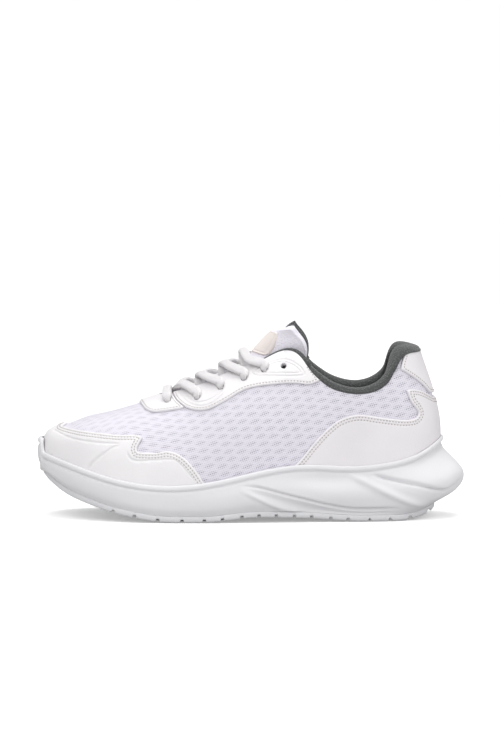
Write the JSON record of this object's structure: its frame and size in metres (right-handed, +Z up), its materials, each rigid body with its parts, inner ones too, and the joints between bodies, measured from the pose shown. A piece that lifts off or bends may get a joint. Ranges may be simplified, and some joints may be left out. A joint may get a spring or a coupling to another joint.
{
  "type": "running shoe",
  "caption": "Low-cut lace-up running shoe with mesh upper, smooth overlays, padded dark collar, thick sculpted foam sole and grooved rubber outsole.",
  "frame": {"origin": "centre of the shoe's bounding box, on the ground under the sole", "axes": "+X from the toe to the heel, +Y from the outer (lateral) side to the inner side, +Z up"},
  "size_m": [0.29, 0.107, 0.132],
  "materials": {
    "outsole_rubber": "matt moulded rubber, pale grey",
    "midsole_foam": "matt moulded foam, off-white",
    "insole_board": "plain fibre board",
    "sockliner_cloth": "fine dark cloth over foam",
    "upper_mesh": "knitted mesh with slanted groups of holes, white with a cool tint",
    "overlay_leather": "smooth white synthetic leather",
    "heel_leather": "smooth off-white synthetic leather",
    "backer_board": "plain stiffening sheet",
    "lining_cloth": "fine dark cloth",
    "stiffener": "plain moulded sheet",
    "collar_cloth": "fine dark brushed cloth",
    "padding_foam": "open foam",
    "tongue_mesh": "open knitted mesh",
    "badge_film": "smooth welded film, pale pinkish grey",
    "lace_cord": "flat white braid",
    "aglet_plastic": "clear plastic"
  },
  "bodies": {
    "shoe": {"outsole": "outsole_rubber", "midsole": "midsole_foam", "strobel_board": "insole_board", "mesh_upper": "upper_mesh", "toe_mudguard": "overlay_leather", "heel_mudguard": "heel_leather", "heel_tab": "heel_leather", "throat_overlay": "overlay_leather", "eyestay_lateral": "overlay_leather", "eyestay_medial": "overlay_leather", "eyestay_backer_lateral": "backer_board", "eyestay_backer_medial": "backer_board", "quarter_lining_lateral": "lining_cloth", "quarter_lining_medial": "lining_cloth", "toe_puff": "stiffener", "heel_counter": "stiffener", "vamp_lining": "lining_cloth", "collar_lining": "collar_cloth", "collar_foam": "padding_foam", "tongue_face_lower": "tongue_mesh", "tongue_foam_lower": "padding_foam", "tongue_lining_lower": "collar_cloth", "shoelace": "lace_cord", "aglet_a": "aglet_plastic", "aglet_b": "aglet_plastic"},
    "tongue_top": {"tongue_face_top": "tongue_mesh", "tongue_foam_top": "padding_foam", "tongue_lining_top": "collar_cloth", "tongue_badge": "badge_film"},
    "sockliner": {"sockliner": "sockliner_cloth"}
  },
  "joints": [
    {"name": "tongue_flex", "type": "hinge", "parent": "shoe", "child": "tongue_top", "pos_m": [-0.001, 0, 0.108], "axis": [0, -1, 0], "range_deg": [0, 28], "stiffness_Nm_per_rad": 0.02},
    {"name": "sockliner_lift", "type": "hinge", "parent": "shoe", "child": "sockliner", "pos_m": [-0.125, 0, 0.034], "axis": [0, -1, 0], "range_deg": [0, 4]}
  ]
}
